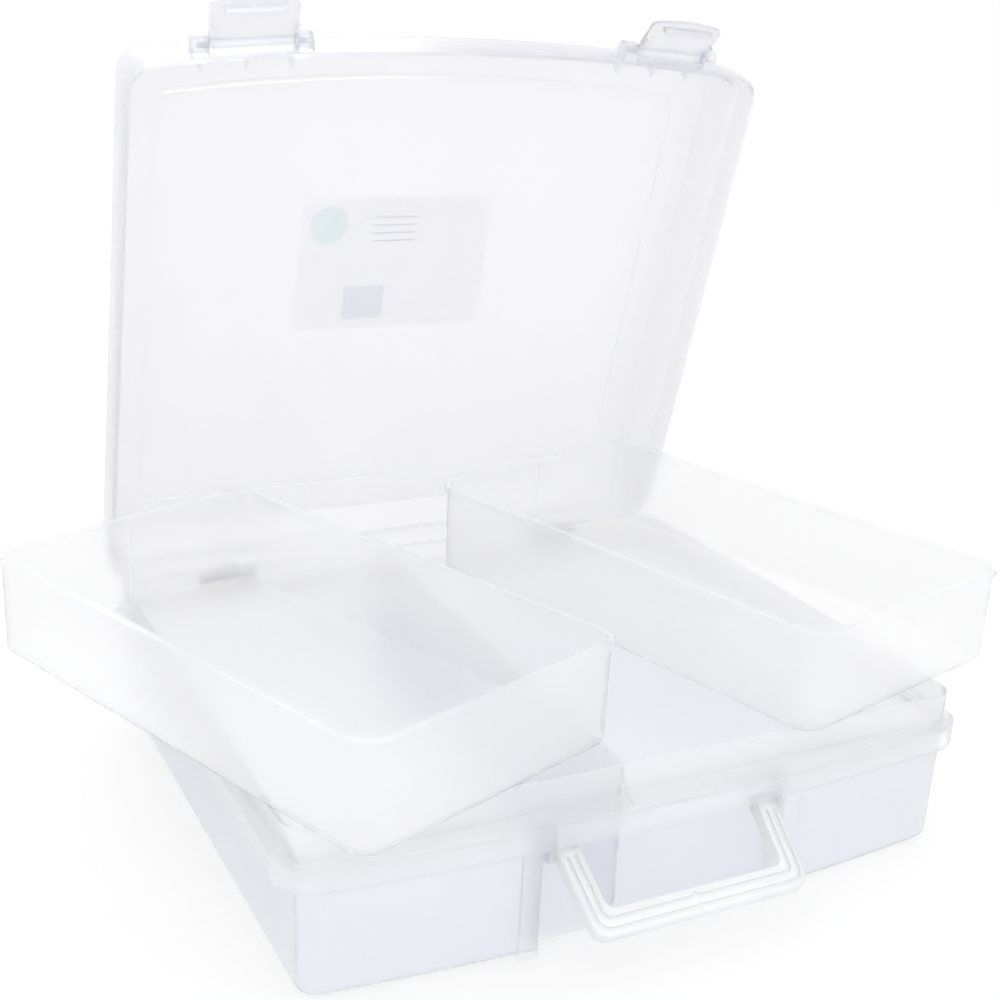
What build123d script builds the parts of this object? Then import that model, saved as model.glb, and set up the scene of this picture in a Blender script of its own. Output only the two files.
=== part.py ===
"""Clear plastic parts organizer: a carry case with a hinged lid and two lift-out trays.

Frame: +X to the right, +Z up, the front of the case looks along -Y.  The origin is the
middle of the case's flat bottom.  The case stands open: the lid leans on its back hinge,
its two latches stick out past the lid's edge, the carry handle sticks out of the front,
and both trays lie across the rim of the base.

Everything on the lid is built with the lid shut and then swung open about the hinge.
Everything on a latch is built hanging shut.  The handle is built hanging straight down.
"""
import os
from math import atan, degrees

from build123d import *

# ---- base: the tub with its flange and lip ---------------------------------
base_width = 380.0          # flange, side to side
base_depth = 318.0          # flange, back edge to front corners
front_bow = 11.0            # how far the middle of the front stands out
flange_top = 70.0           # height of the flange's upper face
flange_plate = 3.0
flange_corner = 20.0
skirt_wall = 2.0
front_skirt_drop = 13.0     # skirt under the flange, along the front
side_skirt_drop = 9.0       # skirt under the flange, elsewhere
base_wall = 2.0
base_floor = 2.4
bottom_round = 5.0
side_inset = 8.5            # flange edge to wall, sides and back
front_inset = 3.5           # flange edge to wall, front
wall_draft = 1.5            # how much the wall leans in from flange to floor
lip_height = 15.0           # wall standing above the flange, inside the lid
lip_inset = 4.0             # flange edge to lip
lip_wall = 2.0
mouth_ledge = 1.5           # flange inside the lip, along the front

# ---- partition and lip gusset inside the base --------------------------------
partition_x = -21.0
partition_wall = 2.0
lip_gusset_wall = 1.6
lip_gusset_height = 7.0

# ---- front recess for the handle -------------------------------------------
recess_side_room = 2.9      # handle lug to the side of the recess
pilaster_width = 10.0
pilaster_stand = 1.0        # how far a pilaster stands out of the front wall
pilaster_round = 0.8

# ---- lid --------------------------------------------------------------------
lid_open_angle = 74.3
lid_height = 44.0           # flange to the lid's top face
lid_seat_gap = 0.3
lid_wall = 2.0
lid_edge_inset = 1.4        # flange edge to the lid's rim band
rim_band_height = 16.7
upper_inset = 5.0           # flange edge to the lid's upper wall
upper_draft = 1.5
lid_edge_round = 4.0
band_edge_round = 1.2
panel_inset = 28.0          # flange edge to the raised panel on top
panel_rise = 1.0
gusset_depth = 8.0
gusset_run = 14.0
gusset_wall = 1.8
gusset_spread = 24.0        # latch's middle to an outer gusset

# ---- lid hinge ---------------------------------------------------------------
hinge_from_side = 75.0      # flange's side edge to the middle of each hinge
hinge_back = 7.0            # flange's back edge to the hinge axis
hinge_rise = 3.0            # flange's upper face to the hinge axis
knuckle_radius = 5.0
lid_knuckle = 14.0
base_knuckle = 10.0
knuckle_gap = 0.3
pin_radius = 2.0
pin_running_gap = 0.08
pin_seat_gap = 0.02
pin_shoulder = 0.4          # how far a pin stands out of its end knuckles

# ---- latches -----------------------------------------------------------------
latch_from_side = 66.0      # flange's side edge to the middle of each latch
latch_width = 46.0
latch_length = 25.5         # latch axis to its free edge
latch_plate = 2.0
latch_crown = 2.5           # how far the free edge bows out
latch_corner = 3.0
latch_barrel = 3.0          # barrel radius
latch_stand = 4.8           # rim band's face to the latch axis
latch_gap = 1.5             # flange edge to the shut latch
latch_height = 6.5          # flange's upper face to the latch axis
latch_side_rib = 2.6        # how deep a side rib is
latch_side_wall = 1.6       # how thick a side rib is
latch_side_run = 11.5       # how far a side rib runs from the axis
hook_width = 32.0
hook_reach = 3.2
hook_thickness = 2.2
hook_clearance = 0.4        # skirt's lower edge to the hook
ear_width = 8.0
ear_radius = 4.6
ear_side_gap = 0.4
stub_radius = 1.6
stub_gap = 0.08
stub_length = 4.0
left_latch_angle = 77.0     # from hanging shut, on the open lid
right_latch_angle = 61.0

# ---- handle ------------------------------------------------------------------
handle_width = 123.0        # at the pivots
handle_lean = 3.0           # how far each arm leans in, pivot to grip
handle_arm = 11.0
handle_grip = 12.5          # depth of the grip bar
handle_length = 46.5        # pivot to the grip's outer edge
handle_thickness = 8.0
handle_corner = 8.0
handle_inner_corner = 5.0
handle_edge_round = 2.0
handle_out_angle = 55.0     # from hanging straight down
handle_pivot_back = 7.5     # middle of the flange's front edge to the pivot
handle_pivot_drop = 17.0    # flange's upper face to the pivot
handle_stub_radius = 2.4
handle_stub_gap = 0.08
handle_stub = 3.5
lug_gap = 0.4
lug_wall = 3.2
lug_radius = 5.0
groove_width = 1.6
groove_depth = 1.2
groove_insets = (2.6, 6.8)  # handle's outer edge to each groove, on the arms
groove_corner_step = 0.5    # how fast a groove's corner tightens as it is drawn in
groove_start = 6.0          # pivot to the top of the grooves
dimple_radius = 1.7
dimple_depth = 1.0
dimple_x = -3.0
dimple_pitch = 5.6
notch_side_room = 2.0       # handle arm to the side of its notch in the skirt
notch_top_room = 0.8

# ---- trays -------------------------------------------------------------------
tray_width = 167.0          # over the rim
tray_length = 292.0         # over the rim
tray_height = 55.0
tray_rim = 1.8              # how far the rim stands out
tray_rim_height = 4.0
tray_wall = 1.6
tray_floor = 1.8
tray_draft = 0.5
tray_corner = 13.0
tray_bottom_round = 4.0
tray_rim_round = 1.2
guide_wall = 1.2
guide_depth = 1.6
guide_top_gap = 1.0         # tray's rim to the top of a guide rib
tray_seat_gap = 0.1         # top of the base's lip to a tray's underside
left_tray_x = -139.0
left_tray_y = -25.0
left_tray_turn = 20.2       # degrees from square to the case
right_tray_x = 119.5
right_tray_y = -6.5
right_tray_turn = 15.0

# ---- contents label ------------------------------------------------------------
label_width = 122.0
label_height = 86.0
label_thickness = 0.3
label_corner = 5.0
label_x = -12.0
label_y = -24.0

# ---- places that follow from the sizes ------------------------------------------
back_edge = base_depth / 2
front_corner_edge = -base_depth / 2
front_edge = front_corner_edge - front_bow
lip_top = flange_top + lip_height
lid_rim = flange_top + lid_seat_gap
lid_top = flange_top + lid_height
band_top = lid_rim + rim_band_height
recess_wall_y = front_corner_edge + lip_inset
recess_half_width = handle_width / 2 + lug_gap + lug_wall + recess_side_room
hinge_y = back_edge + hinge_back
hinge_z = flange_top + hinge_rise
latch_z = flange_top + latch_height
handle_y = front_edge + handle_pivot_back
handle_z = flange_top - handle_pivot_drop
front_skirt_bottom = flange_top - front_skirt_drop
hinge_station = base_width / 2 - hinge_from_side
latch_station = base_width / 2 - latch_from_side
beyond = 60.0               # makes a cutting block reach past what it cuts
bite = 1.0                  # how far a piece is sunk into what it is fused to


def plan(side, front, back, bow=front_bow):
    """Outline of the case, drawn in from the flange's edge by these insets."""
    half = base_width / 2 - side
    y_back = back_edge - back
    y_front = front_corner_edge + front
    corner = max(flange_corner - side, bottom_round + 1.0)
    with BuildSketch() as sketch:
        with BuildLine():
            Line((-half, y_front), (-half, y_back))
            Line((-half, y_back), (half, y_back))
            Line((half, y_back), (half, y_front))
            if bow:
                ThreePointArc((half, y_front), (0, y_front - bow), (-half, y_front))
            else:
                Line((half, y_front), (-half, y_front))
        make_face()
        fillet(sketch.vertices(), corner)
    return sketch.sketch


def even_plan(inset):
    return plan(inset, inset, inset)


def prism(sketch, z_low, z_high):
    return extrude(Pos(0, 0, z_low) * sketch, z_high - z_low)


def block(x_low, x_high, y_low, y_high, z_low, z_high):
    """Box given by its limits."""
    middle = ((x_low + x_high) / 2, (y_low + y_high) / 2, (z_low + z_high) / 2)
    return Pos(*middle) * Box(x_high - x_low, y_high - y_low, z_high - z_low)


def rod(x_low, x_high, y, z, radius):
    """Cylinder along X."""
    place = Pos((x_low + x_high) / 2, y, z) * Rot(0, 90, 0)
    return place * Cylinder(radius, x_high - x_low)


def rounded_box(width, length, corner):
    return RectangleRounded(width, length, corner)


def front_of_flange(x):
    """Y of the flange's front edge at this x."""
    return front_corner_edge - front_bow * (1 - (2 * x / base_width) ** 2)


def front_turn(x):
    """Angle of the flange's front edge to X at this x, in degrees."""
    return degrees(atan(8 * front_bow * x / base_width ** 2))


def recess_block(grow, z_low, z_high):
    """Block that fills the handle recess, grown by a wall."""
    half = recess_half_width + grow
    return block(-half, half, front_edge - beyond, recess_wall_y + grow, z_low, z_high)


# ---- base ------------------------------------------------------------------------
def tub():
    low = plan(side_inset + wall_draft, front_inset + wall_draft, side_inset + wall_draft)
    high = plan(side_inset, front_inset, side_inset)
    under_plate = flange_top - flange_plate
    outer = loft([low, Pos(0, 0, under_plate) * high], ruled=True)
    outer = fillet(outer.edges().group_by(Axis.Z)[0], bottom_round)
    outer -= recess_block(0, -1, flange_top)
    return outer


def cavity():
    """Space inside the tub, with its straight-fronted mouth through the flange."""
    side = side_inset + base_wall
    front = front_inset + base_wall
    under_plate = flange_top - flange_plate
    low = plan(side + wall_draft, front + wall_draft, side + wall_draft)
    high = plan(side, front, side)
    space = loft([Pos(0, 0, base_floor) * low, Pos(0, 0, under_plate) * high], ruled=True)
    mouth = plan(side, lip_inset + lip_wall + mouth_ledge, side, 0)
    space += prism(mouth, under_plate, flange_top + 1)
    return space - recess_block(base_wall, -1, under_plate)


def skirt():
    """Rim that hangs from the flange's edge, deeper along the front."""
    ring = even_plan(0) - even_plan(skirt_wall)
    hoop = prism(ring, front_skirt_bottom, flange_top)
    front_end = front_corner_edge + flange_corner
    hoop -= block(-base_width, base_width, front_end, back_edge + beyond,
                  front_skirt_bottom - 1, flange_top - side_skirt_drop)
    arm_middle = (handle_width - handle_arm) / 2
    half_notch = handle_arm / 2 + notch_side_room
    notch_top = handle_z + handle_thickness / 2 + notch_top_room
    for side in (-1, 1):
        hoop -= block(side * arm_middle - half_notch, side * arm_middle + half_notch,
                      front_edge - beyond, front_edge + 3 * skirt_wall,
                      notch_top - beyond, notch_top)
    return hoop


def lip():
    """Straight-fronted wall that stands on the flange, inside the lid."""
    inner = lip_inset + lip_wall
    ring = plan(lip_inset, lip_inset, lip_inset, 0) - plan(inner, inner, inner, 0)
    return prism(ring, flange_top - 1, lip_top)


def lip_gusset():
    """Web between the lip and the front of the flange."""
    front = front_of_flange(partition_x) + 1
    with BuildSketch(Plane.YZ) as side_view:
        with BuildLine():
            Polyline((front, flange_top - 1), (front, flange_top),
                     (recess_wall_y + lip_wall / 2, flange_top + lip_gusset_height),
                     (recess_wall_y + lip_wall / 2, flange_top - 1), close=True)
        make_face()
    return Pos(partition_x, 0, 0) * extrude(side_view.sketch, lip_gusset_wall / 2, both=True)


def partition():
    """Wall from front to back inside the base, as high as the lip."""
    half = partition_wall / 2
    back = back_edge - lip_inset - lip_wall / 2
    wall = block(partition_x - half, partition_x + half, recess_wall_y + lip_wall / 2, back,
                 base_floor / 2, lip_top)
    wall_back = back_edge - side_inset - base_wall / 2
    wall -= block(-base_width, base_width, wall_back - wall_draft, back_edge,
                  -1, flange_top - flange_plate / 2)
    return wall


def pilasters():
    """Two upright ribs that frame the handle recess."""
    solids = []
    for side in (-1, 1):
        middle = side * (recess_half_width + pilaster_width / 2)
        face = front_of_flange(middle) + front_inset - pilaster_stand
        post = block(middle - pilaster_width / 2, middle + pilaster_width / 2,
                     face, face + pilaster_stand + wall_draft + base_wall, 0, front_skirt_bottom)
        front_uprights = post.edges().filter_by(Axis.Z).group_by(Axis.Y)[0]
        solids.append(fillet(front_uprights, pilaster_round))
    return solids


def handle_lugs():
    """Ears under the flange that the handle's stubs turn in."""
    solids = []
    inner = handle_width / 2 + lug_gap
    for side in (-1, 1):
        near, far = sorted((side * inner, side * (inner + lug_wall)))
        ear = block(near, far, handle_y - lug_radius, recess_wall_y + 1,
                    handle_z, flange_top - 1)
        ear += rod(near, far, handle_y, handle_z, lug_radius)
        ear += block(near, far, handle_y, recess_wall_y + 1, handle_z - lug_radius, handle_z)
        solids.append(ear - rod(near - 1, far + 1, handle_y, handle_z,
                                handle_stub_radius + handle_stub_gap))
    return solids


def hinge_x(side):
    return side * hinge_station


def base_knuckles():
    solids = []
    inner = lid_knuckle / 2 + knuckle_gap
    for side in (-1, 1):
        for end in (-1, 1):
            near, far = sorted((end * inner, end * (inner + base_knuckle)))
            near += hinge_x(side)
            far += hinge_x(side)
            arm = block(near, far, back_edge - skirt_wall, hinge_y,
                        flange_top - side_skirt_drop, flange_top)
            arm += rod(near, far, hinge_y, hinge_z, knuckle_radius)
            solids.append(arm - rod(near - 1, far + 1, hinge_y, hinge_z,
                                    pin_radius + pin_seat_gap))
    return solids


def base():
    plate = prism(even_plan(0), flange_top - flange_plate, flange_top)
    shell = tub() + plate + skirt()
    for post in pilasters():
        shell += post
    for ear in handle_lugs():
        shell += ear
    shell -= cavity()
    shell += lip()
    shell += lip_gusset()
    shell += partition()
    for knuckle in base_knuckles():
        shell += knuckle
    return shell


# ---- lid, built shut ----------------------------------------------------------------
def lid_shell():
    top_inset = upper_inset + upper_draft
    upper = loft([Pos(0, 0, lid_rim) * even_plan(upper_inset),
                  Pos(0, 0, lid_top) * even_plan(top_inset)], ruled=True)
    upper = fillet(upper.edges().group_by(Axis.Z)[-1], lid_edge_round)
    band = prism(even_plan(lid_edge_inset), lid_rim, band_top)
    band = fillet(band.edges().group_by(Axis.Z)[-1], band_edge_round)
    panel = prism(even_plan(panel_inset), lid_top - lid_wall, lid_top + panel_rise)
    panel = chamfer(panel.edges().group_by(Axis.Z)[-1], panel_rise * 0.9)
    band_space = prism(even_plan(lid_edge_inset + lid_wall), lid_rim - 1, band_top - lid_wall)
    upper_space = loft([Pos(0, 0, lid_rim) * even_plan(upper_inset + lid_wall),
                        Pos(0, 0, lid_top - lid_wall) * even_plan(top_inset + lid_wall)],
                       ruled=True)
    panel_space = prism(even_plan(panel_inset + lid_wall), lid_top - lid_wall - 1,
                        lid_top + panel_rise - lid_wall)
    return upper + band + panel - band_space - upper_space - panel_space


def latch_frame(side):
    """Place on the latch axis, with its X along the lid's front edge."""
    x = side * latch_station
    y = front_of_flange(x) + lid_edge_inset - latch_stand
    return Pos(x, y, latch_z) * Rot(0, 0, front_turn(x))


def latch_ears():
    """Pair of ears on the rim band for each latch, in the latch's own frame."""
    near = latch_width / 2 + ear_side_gap
    root = latch_stand + lid_wall / 2
    solids = []
    for end in (-1, 1):
        low, high = sorted((end * near, end * (near + ear_width)))
        ear = block(low, high, 0, root, lid_rim - latch_z + 1, ear_radius)
        ear += rod(low, high, 0, 0, ear_radius)
        ear += block(low, high, 0, root, -ear_radius, ear_radius)
        hole_low, hole_high = sorted((end * (near - 1), end * (near + stub_length + 1)))
        solids.append(ear - rod(hole_low, hole_high, 0, 0, stub_radius + stub_gap))
    return solids


def lid_gussets():
    """Three small webs behind each latch, on the inner face of the lid's front wall."""
    solids = []
    z_low = band_top - lid_wall - latch_z
    wall_y = latch_stand + upper_inset - lid_edge_inset + lid_wall / 2
    for end in (-1, 0, 1):
        middle = end * gusset_spread
        with BuildSketch(Plane.YZ) as side_view:
            with BuildLine():
                Polyline((wall_y, z_low), (wall_y + gusset_depth, z_low),
                         (wall_y, z_low + gusset_run), close=True)
            make_face()
        web = extrude(side_view.sketch, gusset_wall / 2, both=True)
        solids.append(Pos(middle, 0, 0) * web)
    return solids


def lid_knuckles():
    solids = []
    wall_face = back_edge - lid_edge_inset
    for side in (-1, 1):
        low = hinge_x(side) - lid_knuckle / 2
        high = hinge_x(side) + lid_knuckle / 2
        arm = block(low, high, wall_face - lid_wall / 2, hinge_y,
                    hinge_z, hinge_z + knuckle_radius)
        arm += rod(low, high, hinge_y, hinge_z, knuckle_radius)
        solids.append(arm - rod(low - 1, high + 1, hinge_y, hinge_z,
                                pin_radius + pin_running_gap))
    return solids


def swing_open(shape):
    """Turns a piece of the shut lid to its open place."""
    hinge = Pos(0, hinge_y, hinge_z)
    return hinge * Rot(-lid_open_angle, 0, 0) * hinge.inverse() * shape


def lid():
    shell = lid_shell()
    for side in (-1, 1):
        frame = latch_frame(side)
        for piece in latch_ears() + lid_gussets():
            shell += frame * piece
    for knuckle in lid_knuckles():
        shell += knuckle
    return swing_open(shell)


def label():
    face = Pos(label_x, label_y, lid_top + panel_rise)
    sheet = extrude(face * rounded_box(label_width, label_height, label_corner), label_thickness)
    return swing_open(sheet)


def hinge_pin(side):
    half = lid_knuckle / 2 + knuckle_gap + base_knuckle + pin_shoulder
    return rod(hinge_x(side) - half, hinge_x(side) + half, hinge_y, hinge_z, pin_radius)


# ---- latch, built hanging shut in its own frame ----------------------------------------
def latch_body():
    inner_face = latch_stand - lid_edge_inset - latch_gap
    outer_face = inner_face - latch_plate
    half = latch_width / 2
    with BuildSketch(Plane.XZ.offset(-inner_face)) as front_view:
        with BuildLine():
            Line((-half, 0), (half, 0))
            Line((half, 0), (half, -latch_length + latch_crown))
            ThreePointArc((half, -latch_length + latch_crown), (0, -latch_length),
                          (-half, -latch_length + latch_crown))
            Line((-half, -latch_length + latch_crown), (-half, 0))
        make_face()
        low_corners = front_view.vertices().group_by(Axis.Z)[0]
        fillet(low_corners, latch_corner)
    body = extrude(front_view.sketch, latch_plate)
    body += rod(-half, half, 0, 0, latch_barrel)
    for end in (-1, 1):
        low, high = sorted((end * half, end * (half - latch_side_wall)))
        body += block(low, high, outer_face, inner_face + latch_side_rib,
                      -latch_side_run, 0)
    skirt_bottom = front_skirt_bottom - latch_z
    hook_top = skirt_bottom - hook_clearance
    body += block(-hook_width / 2, hook_width / 2, outer_face, inner_face + hook_reach,
                  hook_top - hook_thickness, hook_top)
    stub_end = half + ear_side_gap + stub_length
    body += rod(-stub_end, stub_end, 0, 0, stub_radius)
    return body


def latch(side, angle):
    """Latch swung this far from shut, on the open lid."""
    return swing_open(latch_frame(side) * Rot(-angle, 0, 0) * latch_body())


# ---- handle, built hanging straight down from its pivot ------------------------------------
def handle_ring(inset_arm, inset_grip, corner):
    """U outline drawn in from the handle's outer edge, open above the pivot."""
    half = handle_width / 2 - inset_arm
    bottom = -handle_length + inset_grip
    top = handle_thickness
    low = half + bottom * handle_lean / handle_length
    high = half + top * handle_lean / handle_length
    with BuildSketch(Plane.XZ) as sketch:
        with BuildLine():
            Polyline((-high, top), (-low, bottom), (low, bottom), (high, top), close=True)
        make_face()
        fillet(sketch.vertices().group_by(Axis.Z)[0], corner)
    return sketch.sketch


def handle_body():
    half_thick = handle_thickness / 2
    outer = extrude(handle_ring(0, 0, handle_corner), half_thick, both=True)
    inner = extrude(handle_ring(handle_arm, handle_grip, handle_inner_corner),
                    handle_thickness, both=True)
    bar = outer - inner
    bar -= block(-handle_width, handle_width, -beyond, beyond, 0, beyond)
    bar = fillet(bar.edges().group_by(Axis.Z)[0], handle_edge_round)
    edge = handle_width / 2
    for side in (-1, 1):
        low, high = sorted((side * edge, side * (edge - handle_arm)))
        bar += rod(low, high, 0, 0, half_thick)
        start, end = sorted((side * (edge - bite), side * (edge + handle_stub)))
        bar += rod(start, end, 0, 0, handle_stub_radius)
    for cut in handle_grooves() + handle_dimples():
        bar -= cut
    return bar


def handle_grooves():
    """Two grooves that run down each arm and along the grip, on the outer face."""
    grooves = []
    spread = handle_grip / handle_arm
    for start in groove_insets:
        stop = start + groove_width
        ring = handle_ring(start, start * spread, handle_corner - start * groove_corner_step)
        ring -= handle_ring(stop, start * spread + groove_width,
                            handle_corner - stop * groove_corner_step)
        cut = extrude(Pos(0, -handle_thickness / 2 + groove_depth, 0) * ring, beyond)
        cut -= block(-handle_width, handle_width, -2 * beyond, beyond, -groove_start, beyond)
        grooves.append(cut)
    return grooves


def handle_dimples():
    """Two shallow round marks near the middle of the grip."""
    dimples = []
    for row in (-1, 1):
        place = Pos(dimple_x, -handle_thickness / 2 + dimple_depth / 2,
                    -handle_length + handle_grip / 2 + row * dimple_pitch / 2)
        dimples.append(place * Rot(90, 0, 0) * Cylinder(dimple_radius, dimple_depth))
    return dimples


def handle():
    return Pos(0, handle_y, handle_z) * Rot(-handle_out_angle, 0, 0) * handle_body()


# ---- trays ---------------------------------------------------------------------------------
def tray_body():
    top_width = tray_width - 2 * tray_rim
    top_length = tray_length - 2 * tray_rim
    low_width = top_width - 2 * tray_draft
    low_length = top_length - 2 * tray_draft
    outer = loft([rounded_box(low_width, low_length, tray_corner - tray_draft),
                  Pos(0, 0, tray_height) * rounded_box(top_width, top_length, tray_corner)],
                 ruled=True)
    outer = fillet(outer.edges().group_by(Axis.Z)[0], tray_bottom_round)
    rim = prism(rounded_box(tray_width, tray_length, tray_corner + tray_rim),
                tray_height - tray_rim_height, tray_height)
    rim = fillet(rim.edges().group_by(Axis.Z)[-1], tray_rim_round)
    wall = 2 * tray_wall
    inner_corner = tray_corner - tray_wall
    inner = loft([Pos(0, 0, tray_floor) * rounded_box(low_width - wall, low_length - wall,
                                                      inner_corner - tray_draft),
                  Pos(0, 0, tray_height) * rounded_box(top_width - wall, top_length - wall,
                                                       inner_corner)], ruled=True)
    inner = fillet(inner.edges().group_by(Axis.Z)[0], tray_bottom_round - tray_wall)
    shell = outer + rim - inner
    for rib in guide_ribs(low_length, top_length):
        shell += rib
    return shell


def guide_ribs(low_length, top_length):
    """Upright rib in the middle of each short wall, inside the tray."""
    ribs = []
    rib_top = tray_height - guide_top_gap
    lean = (top_length - low_length) / 2 * rib_top / tray_height
    for end in (-1, 1):
        y_low = end * (low_length / 2 - tray_wall / 2)
        y_high = y_low + end * lean
        y_in = y_low - end * (tray_wall / 2 + guide_depth)
        with BuildSketch(Plane.YZ) as profile:
            with BuildLine():
                Polyline((y_low, tray_floor / 2), (y_high, rib_top),
                         (y_in + end * lean, rib_top), (y_in, tray_floor / 2), close=True)
            make_face()
        ribs.append(extrude(profile.sketch, guide_wall / 2, both=True))
    return ribs


def tray(x, y, turn):
    return Pos(x, y, lip_top + tray_seat_gap) * Rot(0, 0, turn) * tray_body()


def build_parts():
    return {
        "base": base(),
        "lid": lid(),
        "hinge_pin_left": hinge_pin(-1),
        "hinge_pin_right": hinge_pin(1),
        "latch_left": latch(-1, left_latch_angle),
        "latch_right": latch(1, right_latch_angle),
        "carry_handle": handle(),
        "tray_left": tray(left_tray_x, left_tray_y, left_tray_turn),
        "tray_right": tray(right_tray_x, right_tray_y, right_tray_turn),
        "contents_label": label(),
    }


os.makedirs("parts", exist_ok=True)
for name, shape in build_parts().items():
    export_step(shape, f"parts/{name}.step")
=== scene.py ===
"""Looks of the parts organizer: frosted clear case, latches, handle, trays and label."""
import math

import bpy
from mathutils import Matrix, Vector

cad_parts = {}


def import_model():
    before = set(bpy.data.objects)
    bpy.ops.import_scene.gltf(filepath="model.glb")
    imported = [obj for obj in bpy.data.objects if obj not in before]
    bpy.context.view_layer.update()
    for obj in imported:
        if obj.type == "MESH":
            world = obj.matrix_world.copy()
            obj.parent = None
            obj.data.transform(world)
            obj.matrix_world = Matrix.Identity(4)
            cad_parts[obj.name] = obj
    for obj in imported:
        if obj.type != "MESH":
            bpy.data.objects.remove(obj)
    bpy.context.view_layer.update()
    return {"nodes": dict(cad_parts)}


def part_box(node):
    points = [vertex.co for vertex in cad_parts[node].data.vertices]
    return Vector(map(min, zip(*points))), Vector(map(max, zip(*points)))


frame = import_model()
nodes = frame["nodes"]

TRAY_NODES = ("tray_left", "tray_right")
LATCH_NODES = ("latch_left", "latch_right")
PIN_NODES = ("hinge_pin_left", "hinge_pin_right")
HANDLE_NODE = "carry_handle"
LABEL_NODE = "contents_label"

# ---- moulded plastic -----------------------------------------------------------------
GRAIN_SCALE = 900.0         # fine texture of the mould, per metre
GRAIN_STRENGTH = 0.1
GRAIN_DEPTH = 0.0002        # metres
CLOUD_SCALE = 9.0           # slow drift of the colour, per metre
CLOUD_DETAIL = 3.0
CLOUD_LOW, CLOUD_HIGH = 0.3, 0.7
COAT_WEIGHT = 0.3
COAT_ROUGHNESS = 0.2
# Painted shade: a band along the lid's free edge is darkened, for the greyer look of thick plastic
# seen at a slant.
LID_EDGE_SHADE_START, LID_EDGE_SHADE_STOP = 0.022, 0.014    # metres in from the lid's free edge
LID_EDGE_SHADE_TINT = (0.945, 0.945, 0.955)
# Painted shade: the base grows darker and bluer towards its bottom, where the trays shade its
# inside.
BASE_SHADE_START, BASE_SHADE_STOP = 0.072, 0.03   # heights above the table
BASE_SHADE_TINT = (0.962, 0.966, 0.992)

# ---- label ---------------------------------------------------------------------------
# Places are metres across and up the label, from its middle.
FILM_COLOR = (0.998, 0.998, 1.0)
FILM_ROUGHNESS = 0.1
FILM_TRANSMISSION = 0.95
FILM_IOR = 1.1
PANEL_COLOR = (0.86, 0.86, 0.92)
RULE_COLOR = (0.70, 0.70, 0.78)
SPOT_COLOR = (0.83, 0.95, 0.95)
SPOT_PLACE = (-0.044, 0.026)
SPOT_RADIUS = 0.012
RULE_PITCH = 0.005
RULE_SHARE = 0.16           # of the pitch that is inked
RULES_ACROSS = (-0.016, 0.012)
RULES_UP = (0.014, 0.034)
PANEL_ACROSS = (-0.030, -0.004)
PANEL_UP = (-0.036, -0.014)

# ---- stage ---------------------------------------------------------------------------
FLOOR_RADIUS = 3.0
FLOOR_DROP = 0.0005         # floor's face to the table plane
FLOOR_COLOR = (0.95, 0.95, 0.955)
FLOOR_ROUGHNESS = 0.9
FLOOR_GLOW_SEEN = 0.6       # share of plain white that the camera sees in the floor
SKY_LIGHT = 1.1
LIGHT_AIM = (0.0, 0.0, 0.1)
SOFTBOXES = (               # name, place, side of the square, watts
    ("key", (-1.4, -1.2, 2.2), 1.6, 5.0),
    ("fill", (1.8, -1.4, 1.4), 1.6, 6.0),
    ("back", (0.2, 1.8, 1.8), 1.4, 9.0),
)
CLEAR_BOUNCES = 40          # many frosted walls stand behind one another
SURFACE_BOUNCES = 16
CAMERA_PLACE = (-0.36846, -0.68223, 0.42413)
CAMERA_YAW = 0.48087        # turned to the right of +Y, in radians
CAMERA_PITCH = 0.32409      # tipped down
CAMERA_ROLL = 0.04635
CAMERA_LENS = 54.05
CAMERA_SENSOR = 36.0
CAMERA_CLIP = (0.01, 50.0)


# ---- materials -----------------------------------------------------------------------
def new_material(name):
    """Empty material with a Principled shader; returns (material, nodes, links, shader)."""
    material = bpy.data.materials.new(name)
    material.use_nodes = True
    tree = material.node_tree
    tree.nodes.clear()
    shader = tree.nodes.new("ShaderNodeBsdfPrincipled")
    output = tree.nodes.new("ShaderNodeOutputMaterial")
    tree.links.new(shader.outputs["BSDF"], output.inputs["Surface"])
    return material, tree.nodes, tree.links, shader


def moulded_skin_group():
    """Group that puts out a fine moulded-texture normal and a slow cloudiness value."""
    group = bpy.data.node_groups.new("moulded_skin", "ShaderNodeTree")
    face = group.interface
    for name, default in (("Grain Scale", GRAIN_SCALE), ("Grain Strength", GRAIN_STRENGTH),
                          ("Cloud Scale", CLOUD_SCALE)):
        socket = face.new_socket(name, in_out="INPUT", socket_type="NodeSocketFloat")
        socket.default_value = default
    face.new_socket("Normal", in_out="OUTPUT", socket_type="NodeSocketVector")
    face.new_socket("Cloud", in_out="OUTPUT", socket_type="NodeSocketFloat")
    inside, links = group.nodes, group.links
    entry = inside.new("NodeGroupInput")
    leave = inside.new("NodeGroupOutput")
    place = inside.new("ShaderNodeTexCoord")
    grain = inside.new("ShaderNodeTexNoise")
    cloud = inside.new("ShaderNodeTexNoise")
    bump = inside.new("ShaderNodeBump")
    bump.inputs["Distance"].default_value = GRAIN_DEPTH
    cloud.inputs["Detail"].default_value = CLOUD_DETAIL
    links.new(place.outputs["Object"], grain.inputs["Vector"])
    links.new(place.outputs["Object"], cloud.inputs["Vector"])
    links.new(entry.outputs["Grain Scale"], grain.inputs["Scale"])
    links.new(entry.outputs["Cloud Scale"], cloud.inputs["Scale"])
    links.new(entry.outputs["Grain Strength"], bump.inputs["Strength"])
    links.new(grain.outputs["Fac"], bump.inputs["Height"])
    links.new(bump.outputs["Normal"], leave.inputs["Normal"])
    links.new(cloud.outputs["Fac"], leave.inputs["Cloud"])
    return group


SKIN = moulded_skin_group()


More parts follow.
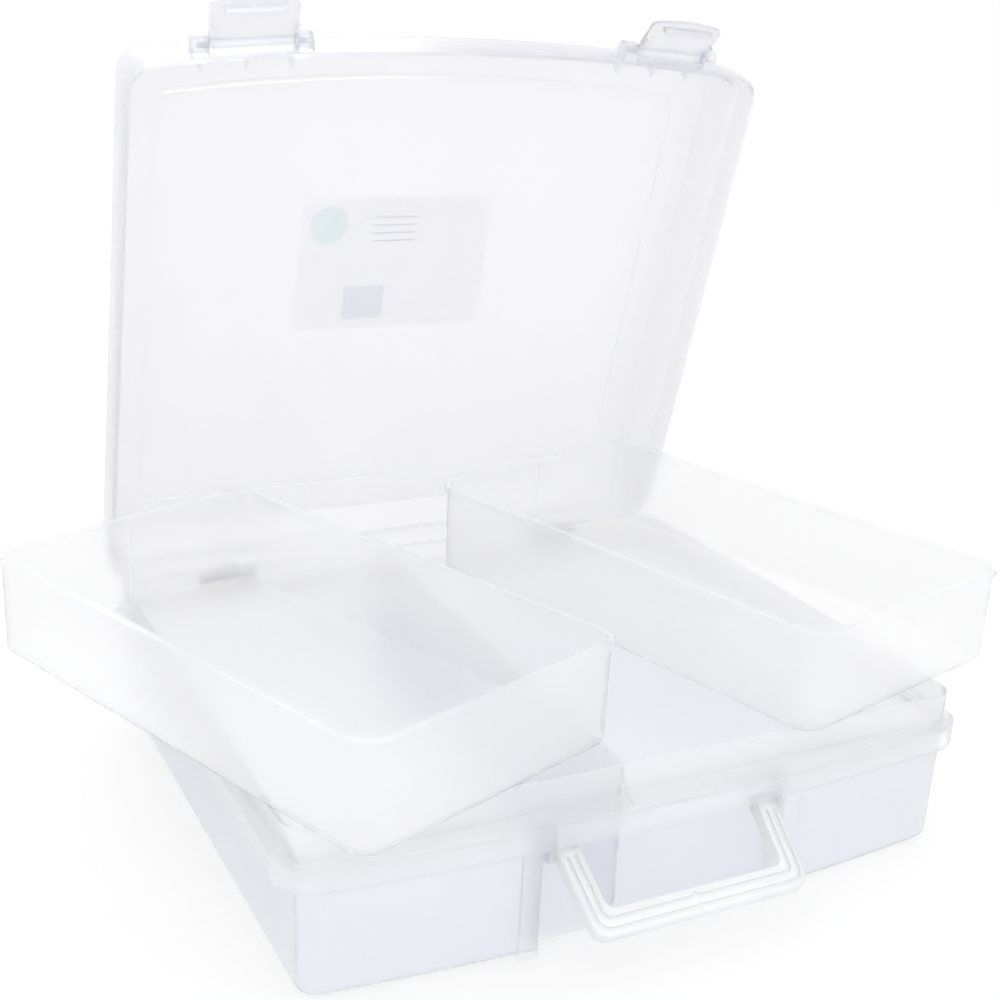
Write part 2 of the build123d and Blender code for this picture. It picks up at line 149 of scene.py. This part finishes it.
def graded(inside, links, color, direction, start, stop, tint):
    """Colour that is multiplied by tint from start to stop, in metres along direction."""
    place = inside.new("ShaderNodeTexCoord")
    along = inside.new("ShaderNodeVectorMath")
    along.operation = "DOT_PRODUCT"
    along.inputs[1].default_value = direction
    links.new(place.outputs["Object"], along.inputs[0])
    share = inside.new("ShaderNodeMapRange")
    share.interpolation_type = "SMOOTHSTEP"
    share.inputs["From Min"].default_value = start
    share.inputs["From Max"].default_value = stop
    links.new(along.outputs["Value"], share.inputs["Value"])
    mix = inside.new("ShaderNodeMix")
    mix.data_type = "RGBA"
    mix.blend_type = "MULTIPLY"
    mix.inputs["B"].default_value = (*tint, 1.0)
    links.new(share.outputs["Result"], mix.inputs["Factor"])
    links.new(color, mix.inputs["A"])
    return mix.outputs["Result"]


def plastic(name, low, high, roughness, transmission, grain, ior, grade=None):
    """Moulded plastic whose colour drifts slowly between low and high."""
    material, inside, links, shader = new_material(name)
    skin = inside.new("ShaderNodeGroup")
    skin.node_tree = SKIN
    skin.inputs["Grain Strength"].default_value = grain
    ramp = inside.new("ShaderNodeValToRGB")
    for stop, place, color in zip(ramp.color_ramp.elements, (CLOUD_LOW, CLOUD_HIGH), (low, high)):
        stop.position = place
        stop.color = (*color, 1.0)
    links.new(skin.outputs["Cloud"], ramp.inputs["Fac"])
    color = ramp.outputs["Color"]
    if grade:
        color = graded(inside, links, color, *grade)
    links.new(color, shader.inputs["Base Color"])
    links.new(skin.outputs["Normal"], shader.inputs["Normal"])
    shader.inputs["Roughness"].default_value = roughness
    shader.inputs["IOR"].default_value = ior
    shader.inputs["Transmission Weight"].default_value = transmission
    shader.inputs["Coat Weight"].default_value = COAT_WEIGHT
    shader.inputs["Coat Roughness"].default_value = COAT_ROUGHNESS
    return material


def paint(names, material):
    """Give CAD nodes their one material."""
    for name in names:
        data = nodes[name].data
        data.materials.clear()
        data.materials.append(material)


def label_frame():
    """Middle of the label and the unit vector that runs up it, from its box."""
    low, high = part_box(LABEL_NODE)
    middle = (Vector(low) + Vector(high)) / 2
    rise = Vector((0.0, low[1] - high[1], high[2] - low[2]))
    return middle, rise.normalized()


def lid_edge_painted_shade():
    """Grade that darkens the band along the lid's free edge a little: painted shade for the greyer
    look of thick plastic seen at a slant.
    """
    up = label_frame()[1]
    edge = max(vertex.co.dot(up) for vertex in nodes["lid"].data.vertices)
    return up, edge - LID_EDGE_SHADE_START, edge - LID_EDGE_SHADE_STOP, LID_EDGE_SHADE_TINT


def base_painted_shade():
    """Painted shade: grade that makes the base darker and bluer towards its bottom, where the trays
    shade its inside.
    """
    return Vector((0.0, 0.0, -1.0)), -BASE_SHADE_START, -BASE_SHADE_STOP, BASE_SHADE_TINT


def math_node(inside, links, kind, first, second=None):
    """Math node fed by two sockets or numbers; returns its output socket."""
    node = inside.new("ShaderNodeMath")
    node.operation = kind
    for slot, value in enumerate((first, second)):
        if isinstance(value, (int, float)):
            node.inputs[slot].default_value = value
        elif value is not None:
            links.new(value, node.inputs[slot])
    return node.outputs[0]


def band(inside, links, value, low, high):
    """1 where value lies between low and high, else 0."""
    above = math_node(inside, links, "GREATER_THAN", value, low)
    below = math_node(inside, links, "LESS_THAN", value, high)
    return math_node(inside, links, "MULTIPLY", above, below)


def label_material():
    """Pale film with a faint round spot, a blank panel and a few plain rules."""
    material, inside, links, shader = new_material("label_film")
    middle, up = label_frame()
    place = inside.new("ShaderNodeTexCoord")
    centred = inside.new("ShaderNodeVectorMath")
    centred.operation = "SUBTRACT"
    centred.inputs[1].default_value = middle
    links.new(place.outputs["Object"], centred.inputs[0])
    across = inside.new("ShaderNodeSeparateXYZ")
    links.new(centred.outputs["Vector"], across.inputs[0])
    climb = inside.new("ShaderNodeVectorMath")
    climb.operation = "DOT_PRODUCT"
    climb.inputs[1].default_value = up
    links.new(centred.outputs["Vector"], climb.inputs[0])
    u, v = across.outputs["X"], climb.outputs["Value"]

    off_u = math_node(inside, links, "SUBTRACT", u, SPOT_PLACE[0])
    off_v = math_node(inside, links, "SUBTRACT", v, SPOT_PLACE[1])
    square_u = math_node(inside, links, "MULTIPLY", off_u, off_u)
    square_v = math_node(inside, links, "MULTIPLY", off_v, off_v)
    distance = math_node(inside, links, "SQRT", math_node(inside, links, "ADD", square_u, square_v))
    spot = math_node(inside, links, "LESS_THAN", distance, SPOT_RADIUS)

    step = math_node(inside, links, "FRACT", math_node(inside, links, "DIVIDE", v, RULE_PITCH))
    rules = math_node(inside, links, "LESS_THAN", step, RULE_SHARE)
    for value, limits in ((u, RULES_ACROSS), (v, RULES_UP)):
        rules = math_node(inside, links, "MULTIPLY", rules, band(inside, links, value, *limits))

    panel = math_node(inside, links, "MULTIPLY", band(inside, links, u, *PANEL_ACROSS),
                      band(inside, links, v, *PANEL_UP))
    color = None
    for mask, tint in ((panel, PANEL_COLOR), (rules, RULE_COLOR), (spot, SPOT_COLOR)):
        mix = inside.new("ShaderNodeMix")
        mix.data_type = "RGBA"
        links.new(mask, mix.inputs["Factor"])
        mix.inputs["B"].default_value = (*tint, 1.0)
        if color is None:
            mix.inputs["A"].default_value = (*FILM_COLOR, 1.0)
        else:
            links.new(color, mix.inputs["A"])
        color = mix.outputs["Result"]
    links.new(color, shader.inputs["Base Color"])
    shader.inputs["Roughness"].default_value = FILM_ROUGHNESS
    shader.inputs["Transmission Weight"].default_value = FILM_TRANSMISSION
    shader.inputs["IOR"].default_value = FILM_IOR
    return material


# The lid's grade is painted shade along its free edge.
lid_plastic = plastic("lid_polypropylene", (0.966, 0.966, 0.990), (0.978, 0.978, 0.996),
                      roughness=0.3, transmission=0.78, grain=0.1, ior=1.1, grade=lid_edge_painted_shade())
# The base's grade is painted shade, darker and bluer towards its bottom.
base_plastic = plastic("base_polypropylene", (0.986, 0.986, 0.995), (0.993, 0.993, 0.999),
                       roughness=0.35, transmission=0.82, grain=0.1, ior=1.1,
                       grade=base_painted_shade())
tray_plastic = plastic("tray_polypropylene", (0.994, 0.995, 1.0), (0.998, 0.998, 1.0),
                       roughness=0.5, transmission=0.88, grain=0.1, ior=1.06)
latch_plastic = plastic("latch_polypropylene", (0.93, 0.93, 0.965), (0.95, 0.95, 0.975),
                        roughness=0.28, transmission=0.7, grain=0.08, ior=1.2)
handle_plastic = plastic("handle_polypropylene", (0.965, 0.965, 0.98), (0.98, 0.98, 0.99),
                         roughness=0.34, transmission=0.5, grain=0.08, ior=1.2)
pin_plastic = plastic("pin_nylon", (0.9, 0.9, 0.93), (0.93, 0.93, 0.95),
                      roughness=0.4, transmission=0.2, grain=0.05, ior=1.49)

paint(("lid",), lid_plastic)
paint(("base",), base_plastic)
paint(TRAY_NODES, tray_plastic)
paint(LATCH_NODES, latch_plastic)
paint(PIN_NODES, pin_plastic)
paint((HANDLE_NODE,), handle_plastic)
paint((LABEL_NODE,), label_material())


# ---- floor, sky, lights and camera ---------------------------------------------------
def ray_share(inside, links, camera_share, other_share):
    """Value: camera_share for camera rays, other_share for mirror and see-through rays."""
    path = inside.new("ShaderNodeLightPath")
    other = math_node(inside, links, "MAXIMUM", path.outputs["Is Glossy Ray"],
                      path.outputs["Is Transmission Ray"])
    seen = math_node(inside, links, "MULTIPLY", path.outputs["Is Camera Ray"], camera_share)
    through = math_node(inside, links, "MULTIPLY", other, other_share)
    return math_node(inside, links, "MAXIMUM", seen, through)


def floor():
    """White round floor; what looks at it through plastic sees it mostly white."""
    bpy.ops.mesh.primitive_circle_add(vertices=96, radius=FLOOR_RADIUS, fill_type="NGON")
    disc = bpy.context.object
    disc.name = "floor"
    disc.location = (0.0, 0.0, -FLOOR_DROP)
    material, inside, links, shader = new_material("floor")
    shader.inputs["Base Color"].default_value = (*FLOOR_COLOR, 1.0)
    shader.inputs["Roughness"].default_value = FLOOR_ROUGHNESS
    shader.inputs["Specular IOR Level"].default_value = 0.0
    output = next(node for node in inside if node.type == "OUTPUT_MATERIAL")
    glow = inside.new("ShaderNodeEmission")
    mix = inside.new("ShaderNodeMixShader")
    links.new(ray_share(inside, links, FLOOR_GLOW_SEEN, 1.0), mix.inputs["Fac"])
    links.new(shader.outputs["BSDF"], mix.inputs[1])
    links.new(glow.outputs["Emission"], mix.inputs[2])
    links.new(mix.outputs["Shader"], output.inputs["Surface"])
    disc.data.materials.append(material)


def softbox(name, place, size, power):
    """Square area light at place, turned to the case."""
    data = bpy.data.lights.new(name, "AREA")
    data.shape = "SQUARE"
    data.size = size
    data.energy = power
    lamp = bpy.data.objects.new(name, data)
    bpy.context.scene.collection.objects.link(lamp)
    lamp.location = place
    lamp.rotation_euler = (Vector(LIGHT_AIM) - Vector(place)).to_track_quat("-Z", "Y").to_euler()


def world():
    """White backdrop for camera, mirror and see-through rays, soft light for the rest."""
    sky = bpy.data.worlds.new("studio")
    bpy.context.scene.world = sky
    sky.use_nodes = True
    tree = sky.node_tree
    tree.nodes.clear()
    output = tree.nodes.new("ShaderNodeOutputWorld")
    mix = tree.nodes.new("ShaderNodeMixShader")
    lit = tree.nodes.new("ShaderNodeBackground")
    seen = tree.nodes.new("ShaderNodeBackground")
    for slot, sheet, strength in ((1, lit, SKY_LIGHT), (2, seen, 1.0)):
        sheet.inputs["Color"].default_value = (1.0, 1.0, 1.0, 1.0)
        sheet.inputs["Strength"].default_value = strength
        tree.links.new(sheet.outputs["Background"], mix.inputs[slot])
    tree.links.new(ray_share(tree.nodes, tree.links, 1.0, 1.0), mix.inputs["Fac"])
    tree.links.new(mix.outputs["Shader"], output.inputs["Surface"])


def camera():
    """Camera from its place and its yaw, pitch and roll."""
    data = bpy.data.cameras.new("camera")
    data.lens = CAMERA_LENS
    data.sensor_width = CAMERA_SENSOR
    data.sensor_fit = "HORIZONTAL"
    data.clip_start, data.clip_end = CAMERA_CLIP
    eye = bpy.data.objects.new("camera", data)
    bpy.context.scene.collection.objects.link(eye)
    turn = Matrix.Rotation(-CAMERA_YAW, 4, "Z")
    tip = Matrix.Rotation(math.pi / 2 - CAMERA_PITCH, 4, "X")
    roll = Matrix.Rotation(CAMERA_ROLL, 4, "Z")
    eye.matrix_world = Matrix.Translation(CAMERA_PLACE) @ turn @ tip @ roll
    bpy.context.scene.camera = eye


floor()
world()
for box in SOFTBOXES:
    softbox(*box)
camera()
bpy.context.scene.view_settings.view_transform = "Standard"
cycles = bpy.context.scene.cycles
cycles.max_bounces = cycles.transmission_bounces = CLEAR_BOUNCES
cycles.diffuse_bounces = cycles.glossy_bounces = SURFACE_BOUNCES
